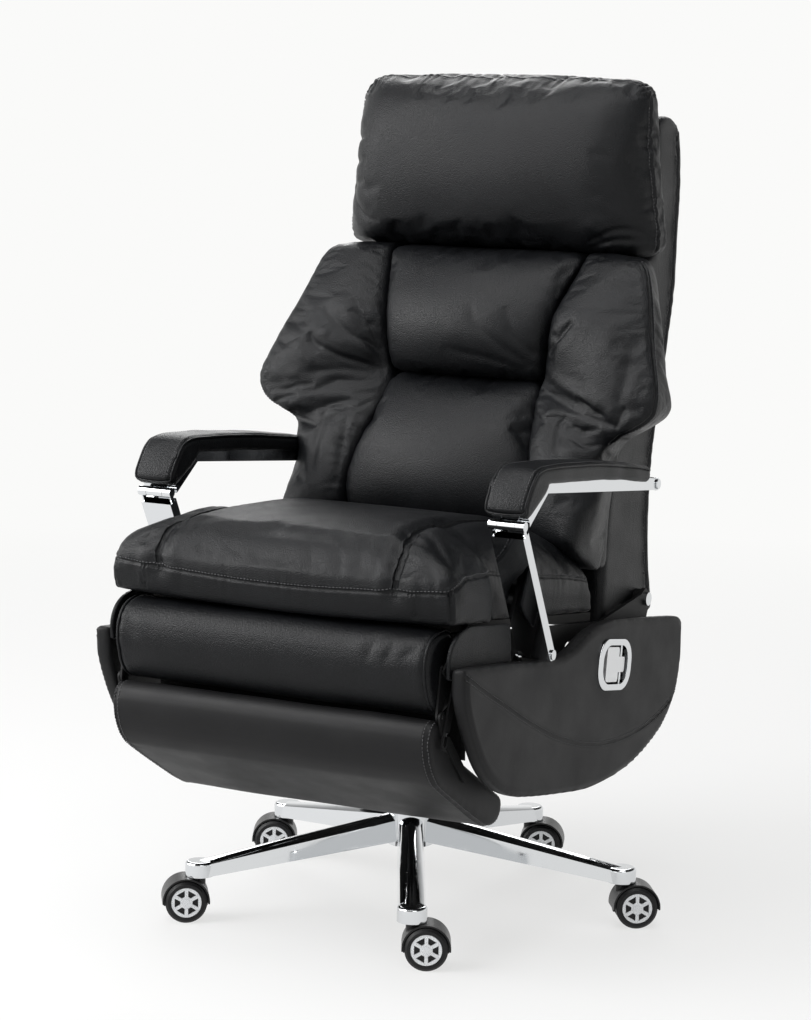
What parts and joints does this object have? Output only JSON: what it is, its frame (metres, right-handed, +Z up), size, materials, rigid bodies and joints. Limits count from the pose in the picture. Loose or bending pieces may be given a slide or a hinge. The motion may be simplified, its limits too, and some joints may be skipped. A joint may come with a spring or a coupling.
{
  "type": "reclining office chair with footrest",
  "caption": "Padded reclining office chair with hinged chrome arms, fold-out footrest, headrest and a chromed star base on swivel casters.",
  "frame": {"origin": "on the floor, on the axis of the gas column", "axes": "+Z up, the chair faces -Y, +X is the sitter's left side, where the recline handle is"},
  "size_m": [0.7147, 0.8204, 1.206],
  "materials": {
    "pebbled_leather": "satin",
    "smooth_leather": "matte",
    "chromed_steel": "polished",
    "caster_steel": "satin",
    "piston_steel": "polished",
    "black_painted_steel": "satin",
    "plywood": "matte",
    "black_nylon": "satin",
    "black_tyre": "satin",
    "silver_cap": "gloss"
  },
  "bodies": {
    "base": {"star_base": "chromed_steel", "column_tube": "black_painted_steel"},
    "column": {"column_piston": "piston_steel"},
    "seat": {"tilt_housing": "black_painted_steel", "seat_frame": "black_painted_steel", "seat_board": "plywood", "seat_cushion": "pebbled_leather", "seat_apron": "pebbled_leather", "seat_pins": "chromed_steel", "skirt_right": "smooth_leather", "skirt_left": "smooth_leather", "handle_cup": "chromed_steel", "handle_pin": "chromed_steel"},
    "height_lever": {"height_lever": "black_painted_steel"},
    "recline_handle": {"recline_handle": "chromed_steel"},
    "back": {"back_frame": "black_painted_steel", "back_shell": "pebbled_leather", "headrest": "pebbled_leather", "upper_back_pad": "pebbled_leather", "lower_back_pad": "pebbled_leather", "wing_right": "pebbled_leather", "wing_left": "pebbled_leather", "bolster_right": "pebbled_leather", "bolster_left": "pebbled_leather", "arm_rods": "chromed_steel"},
    "arm_right": {"arm_rail_right": "chromed_steel", "arm_pad_right": "pebbled_leather", "hinge_pin_right": "chromed_steel"},
    "arm_left": {"arm_rail_left": "chromed_steel", "arm_pad_left": "pebbled_leather", "hinge_pin_left": "chromed_steel"},
    "post_right": {"arm_post_right": "chromed_steel"},
    "post_left": {"arm_post_left": "chromed_steel"},
    "footrest": {"footrest_roll": "pebbled_leather", "roll_board": "plywood", "swing_plates": "black_painted_steel"},
    "foot_panel": {"footrest_panel": "smooth_leather", "panel_plates": "black_painted_steel", "panel_pins": "chromed_steel"},
    "flip_links": {"flip_links": "black_painted_steel"},
    "caster_1": {"caster_hood_1": "black_nylon", "caster_pins_1": "caster_steel"},
    "wheels_1": {"caster_wheels_1": "black_tyre", "caster_caps_1": "silver_cap"},
    "caster_2": {"caster_hood_2": "black_nylon", "caster_pins_2": "caster_steel"},
    "wheels_2": {"caster_wheels_2": "black_tyre", "caster_caps_2": "silver_cap"},
    "caster_3": {"caster_hood_3": "black_nylon", "caster_pins_3": "caster_steel"},
    "wheels_3": {"caster_wheels_3": "black_tyre", "caster_caps_3": "silver_cap"},
    "caster_4": {"caster_hood_4": "black_nylon", "caster_pins_4": "caster_steel"},
    "wheels_4": {"caster_wheels_4": "black_tyre", "caster_caps_4": "silver_cap"},
    "caster_5": {"caster_hood_5": "black_nylon", "caster_pins_5": "caster_steel"},
    "wheels_5": {"caster_wheels_5": "black_tyre", "caster_caps_5": "silver_cap"}
  },
  "joints": [
    {"name": "lift_slide", "type": "slide", "parent": "base", "child": "column", "axis": [0, 0, 1], "range_m": [0, 0.08]},
    {"name": "seat_swivel", "type": "hinge", "parent": "column", "child": "seat", "pos_m": [0, 0, 0.31], "axis": [0, 0, 1], "continuous": true},
    {"name": "back_recline", "type": "hinge", "parent": "seat", "child": "back", "pos_m": [0, 0.268, 0.438], "axis": [-1, 0, 0], "range_deg": [0, 45]},
    {"name": "arm_right_pivot", "type": "hinge", "parent": "back", "child": "arm_right", "pos_m": [0.2755, 0.171, 0.626], "axis": [-1, 0, 0], "range_deg": [-46, 1]},
    {"name": "arm_left_pivot", "type": "hinge", "parent": "back", "child": "arm_left", "pos_m": [-0.2755, 0.171, 0.626], "axis": [-1, 0, 0], "range_deg": [-46, 1]},
    {"name": "post_right_pivot", "type": "hinge", "parent": "seat", "child": "post_right", "pos_m": [0.2755, -0.166, 0.431], "axis": [-1, 0, 0], "range_deg": [-1, 46]},
    {"name": "post_left_pivot", "type": "hinge", "parent": "seat", "child": "post_left", "pos_m": [-0.2755, -0.166, 0.431], "axis": [-1, 0, 0], "range_deg": [-1, 46]},
    {"name": "footrest_swing", "type": "hinge", "parent": "seat", "child": "footrest", "pos_m": [0, -0.382, 0.44], "axis": [-1, 0, 0], "range_deg": [0, 90]},
    {"name": "panel_flip", "type": "hinge", "parent": "footrest", "child": "foot_panel", "pos_m": [0, -0.392, 0.38], "axis": [-1, 0, 0], "range_deg": [-1, 46]},
    {"name": "flip_link_turn", "type": "hinge", "parent": "seat", "child": "flip_links", "pos_m": [0, -0.3407, 0.4715], "axis": [-1, 0, 0], "range_deg": [-1, 65]},
    {"name": "recline_handle_pull", "type": "hinge", "parent": "seat", "child": "recline_handle", "pos_m": [0.285, 0.09366, 0.37262], "axis": [0, 0.1564, 0.9877], "range_deg": [0, 25], "stiffness_Nm_per_rad": 0.4},
    {"name": "height_lever_pull", "type": "hinge", "parent": "seat", "child": "height_lever", "pos_m": [-0.083, 0.01, 0.32], "axis": [0, 1, 0], "range_deg": [0, 4], "stiffness_Nm_per_rad": 4},
    {"name": "caster_swivel_1", "type": "hinge", "parent": "base", "child": "caster_1", "pos_m": [0.15174, -0.27946, 0.0645], "axis": [0, 0, 1], "continuous": true},
    {"name": "caster_roll_1", "type": "hinge", "parent": "caster_1", "child": "wheels_1", "pos_m": [0.1694, -0.27007, 0.03], "axis": [-0.4695, 0.8829, 0], "continuous": true},
    {"name": "caster_swivel_2", "type": "hinge", "parent": "base", "child": "caster_2", "pos_m": [0.31268, 0.05795, 0.0645], "axis": [0, 0, 1], "continuous": true},
    {"name": "caster_roll_2", "type": "hinge", "parent": "caster_2", "child": "wheels_2", "pos_m": [0.32926, 0.06913, 0.03], "axis": [-0.5592, 0.829, 0], "continuous": true},
    {"name": "caster_swivel_3", "type": "hinge", "parent": "base", "child": "caster_3", "pos_m": [0.04151, 0.31528, 0.0645], "axis": [0, 0, 1], "continuous": true},
    {"name": "caster_roll_3", "type": "hinge", "parent": "caster_3", "child": "wheels_3", "pos_m": [0.06005, 0.32277, 0.03], "axis": [-0.3746, 0.9272, 0], "continuous": true},
    {"name": "caster_swivel_4", "type": "hinge", "parent": "base", "child": "caster_4", "pos_m": [-0.28702, 0.1369, 0.0645], "axis": [0, 0, 1], "continuous": true},
    {"name": "caster_roll_4", "type": "hinge", "parent": "caster_4", "child": "wheels_4", "pos_m": [-0.30468, 0.12751, 0.03], "axis": [0.4695, -0.8829, 0], "continuous": true},
    {"name": "caster_swivel_5", "type": "hinge", "parent": "base", "child": "caster_5", "pos_m": [-0.2189, -0.23067, 0.0645], "axis": [0, 0, 1], "continuous": true},
    {"name": "caster_roll_5", "type": "hinge", "parent": "caster_5", "child": "wheels_5", "pos_m": [-0.23528, -0.24214, 0.03], "axis": [0.5736, -0.8192, 0], "continuous": true}
  ],
  "couplings": [
    {"joint": "arm_right_pivot", "follows": "back_recline", "ratio": -1},
    {"joint": "arm_left_pivot", "follows": "back_recline", "ratio": -1},
    {"joint": "post_right_pivot", "follows": "back_recline", "ratio": 1},
    {"joint": "post_left_pivot", "follows": "back_recline", "ratio": 1},
    {"joint": "panel_flip", "follows": "footrest_swing", "ratio": 0.5},
    {"joint": "flip_link_turn", "follows": "footrest_swing", "ratio": 0.714}
  ]
}
